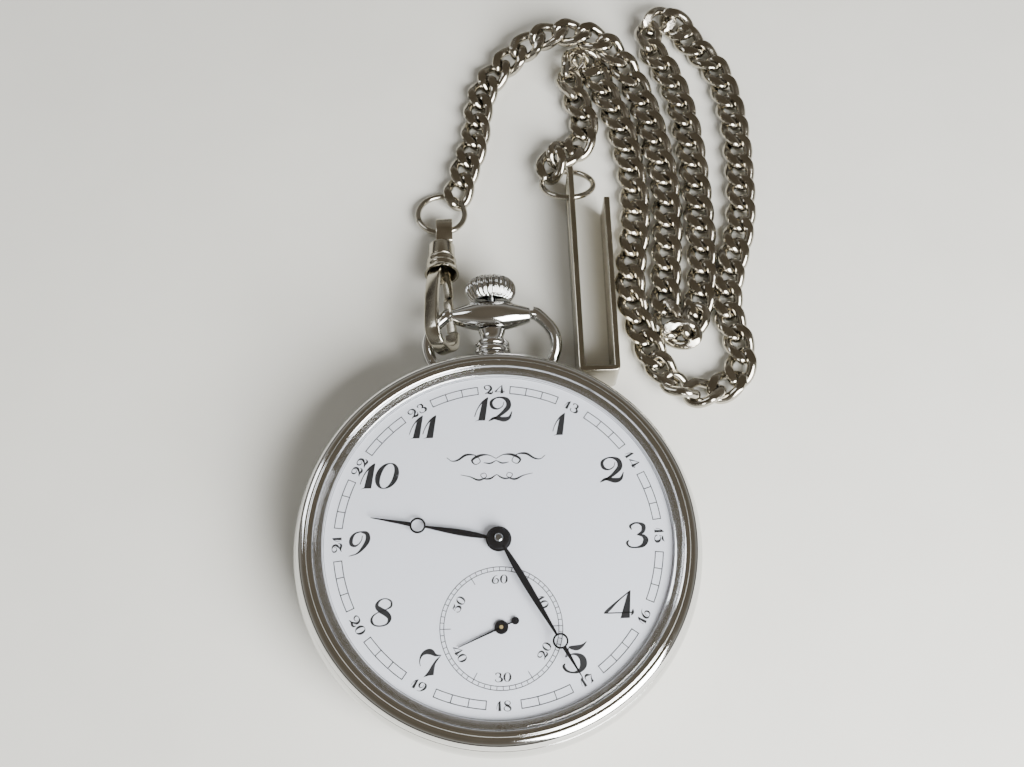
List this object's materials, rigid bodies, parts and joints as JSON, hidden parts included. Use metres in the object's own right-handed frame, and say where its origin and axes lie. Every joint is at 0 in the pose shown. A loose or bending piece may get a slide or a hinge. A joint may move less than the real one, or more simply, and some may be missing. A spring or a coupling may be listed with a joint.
{
  "type": "pocket watch",
  "caption": "Open-face pocket watch with small seconds dial, onion crown and bow, on a curb chain with swivel clasp and belt clip.",
  "frame": {"origin": "on the watch's axis, at the flat underside of the case back", "axes": "+Z out of the dial, +Y from the centre towards 12 o'clock and the crown, +X towards 3 o'clock"},
  "size_m": [0.0616, 0.1059, 0.012],
  "materials": {
    "polished_case_steel": "mirror polished",
    "crystal": "clear",
    "dial": "satin white lacquer",
    "blackened_steel": "blackened, semi-gloss",
    "nickel_plate": "bright nickel plate",
    "movement_brass": "satin",
    "movement_plate": "matt plated",
    "movement_steel": "polished steel"
  },
  "bodies": {
    "case": {"case_back": "polished_case_steel", "case_band": "polished_case_steel", "bezel": "polished_case_steel", "crystal": "crystal", "pendant_neck": "polished_case_steel", "pendant_head": "polished_case_steel", "dial": "dial", "movement_ring": "movement_brass", "main_plate": "movement_plate", "barrel_bridge": "movement_plate", "train_bridge": "movement_plate", "balance_cock": "movement_plate", "bridge_screw_1": "movement_steel", "bridge_screw_2": "movement_steel", "bridge_screw_3": "movement_steel", "bridge_screw_4": "movement_steel", "bridge_screw_5": "movement_steel", "hairspring": "movement_steel"},
    "winding_pinion": {"winding_pinion": "movement_steel"},
    "crown": {"crown": "polished_case_steel", "winding_stem": "movement_steel"},
    "crown_wheel": {"crown_wheel": "movement_steel"},
    "ratchet_wheel": {"ratchet_wheel": "movement_steel"},
    "click": {"click": "movement_steel"},
    "mainspring_barrel": {"mainspring_barrel": "movement_brass"},
    "minute_hand": {"centre_wheel": "movement_brass", "cannon_pinion": "movement_steel", "minute_hand": "blackened_steel"},
    "hour_hand": {"hour_wheel": "movement_brass", "hour_hand": "blackened_steel"},
    "minute_wheel": {"minute_wheel": "movement_brass"},
    "third_wheel": {"third_wheel": "movement_brass"},
    "seconds_hand": {"fourth_wheel": "movement_brass", "seconds_hand": "blackened_steel"},
    "escape_wheel": {"escape_wheel": "movement_steel"},
    "pallet_fork": {"pallet_fork": "movement_steel"},
    "balance_wheel": {"balance_wheel": "movement_brass"},
    "bow": {"bow": "polished_case_steel"},
    "clasp": {"clasp_hook": "nickel_plate", "clasp_ferrule": "nickel_plate"},
    "clasp_gate": {"clasp_gate": "nickel_plate"},
    "chain": {"clasp_eye": "nickel_plate", "clasp_ring": "nickel_plate", "chain_run_1": "nickel_plate", "chain_turned_link_1": "nickel_plate", "chain_run_2": "nickel_plate", "chain_run_3": "nickel_plate", "chain_turned_link_2": "nickel_plate", "chain_run_4": "nickel_plate", "clip_ring": "nickel_plate"},
    "belt_clip": {"belt_clip": "nickel_plate"}
  },
  "joints": [
    {"name": "crown_turn", "type": "hinge", "parent": "case", "child": "winding_pinion", "pos_m": [0, 0.0151, 0.006], "axis": [0, 1, 0], "continuous": true},
    {"name": "crown_pull", "type": "slide", "parent": "winding_pinion", "child": "crown", "axis": [0, 1, 0], "range_m": [0, 0.0012]},
    {"name": "crown_wheel_turn", "type": "hinge", "parent": "case", "child": "crown_wheel", "pos_m": [-0.0006, 0.0109, 0.0036], "axis": [0, 0, 1], "continuous": true},
    {"name": "ratchet_turn", "type": "hinge", "parent": "case", "child": "ratchet_wheel", "pos_m": [0.0058, 0.0065, 0.0036], "axis": [0, 0, 1], "continuous": true},
    {"name": "click_lift", "type": "hinge", "parent": "case", "child": "click", "pos_m": [0.0126, 0.0106, 0.0036], "axis": [0, 0, 1], "range_deg": [0, 8]},
    {"name": "seconds_turn", "type": "hinge", "parent": "case", "child": "seconds_hand", "pos_m": [0, -0.01017, 0.00585], "axis": [0, 0, -1], "continuous": true},
    {"name": "minute_turn", "type": "hinge", "parent": "case", "child": "minute_hand", "pos_m": [0, 0, 0.0063], "axis": [0, 0, -1], "continuous": true},
    {"name": "hour_turn", "type": "hinge", "parent": "case", "child": "hour_hand", "pos_m": [0, 0, 0.0084], "axis": [0, 0, -1], "continuous": true},
    {"name": "minute_wheel_turn", "type": "hinge", "parent": "case", "child": "minute_wheel", "pos_m": [0.0031, 0.00193, 0.0082], "axis": [0, 0, -1], "continuous": true},
    {"name": "third_wheel_turn", "type": "hinge", "parent": "case", "child": "third_wheel", "pos_m": [-0.0056, -0.0055, 0.0053], "axis": [0, 0, -1], "continuous": true},
    {"name": "barrel_turn", "type": "hinge", "parent": "case", "child": "mainspring_barrel", "pos_m": [0.0058, 0.0065, 0.0055], "axis": [0, 0, -1], "continuous": true},
    {"name": "escape_turn", "type": "hinge", "parent": "case", "child": "escape_wheel", "pos_m": [0.0053, -0.0121, 0.0053], "axis": [0, 0, -1], "continuous": true},
    {"name": "pallet_rock", "type": "hinge", "parent": "case", "child": "pallet_fork", "pos_m": [0.0085, -0.0096, 0.0053], "axis": [0, 0, 1], "range_deg": [-5, 5]},
    {"name": "balance_swing", "type": "hinge", "parent": "case", "child": "balance_wheel", "pos_m": [0.012, -0.0052, 0.0063], "axis": [0, 0, 1], "range_deg": [-270, 270], "stiffness_Nm_per_rad": 0.000001},
    {"name": "bow_swing", "type": "hinge", "parent": "case", "child": "bow", "pos_m": [0, 0.0304, 0.006], "axis": [1, 0, 0], "range_deg": [0, 154]},
    {"name": "clasp_swing", "type": "hinge", "parent": "bow", "child": "clasp", "pos_m": [-0.00665, 0.02943, 0.00553], "axis": [1, 0, 0], "range_deg": [-110, 0]},
    {"name": "gate_press", "type": "hinge", "parent": "clasp", "child": "clasp_gate", "pos_m": [-0.00588, 0.0387, 0.00232], "axis": [-0.8599, -0.0974, -0.5012], "range_deg": [0, 12], "stiffness_Nm_per_rad": 0.002},
    {"name": "swivel_turn", "type": "hinge", "parent": "clasp", "child": "chain", "pos_m": [-0.00635, 0.0433, 0.00224], "axis": [0, 0.9816, -0.1908], "continuous": true},
    {"name": "clip_lift", "type": "hinge", "parent": "chain", "child": "belt_clip", "pos_m": [0.0113, 0.04836, 0.004], "axis": [-1, 0, 0], "range_deg": [0, 90]}
  ],
  "couplings": [
    {"joint": "crown_wheel_turn", "follows": "crown_turn", "ratio": 0.54545},
    {"joint": "ratchet_turn", "follows": "crown_turn", "ratio": -0.35294},
    {"joint": "minute_turn", "follows": "seconds_turn", "ratio": 0.016667},
    {"joint": "hour_turn", "follows": "seconds_turn", "ratio": 0.0013889},
    {"joint": "minute_wheel_turn", "follows": "seconds_turn", "ratio": -0.0055556},
    {"joint": "third_wheel_turn", "follows": "seconds_turn", "ratio": -0.13333},
    {"joint": "barrel_turn", "follows": "seconds_turn", "ratio": -0.0020833},
    {"joint": "escape_turn", "follows": "seconds_turn", "ratio": -10},
    {"joint": "clasp_swing", "follows": "bow_swing", "ratio": -0.7}
  ]
}
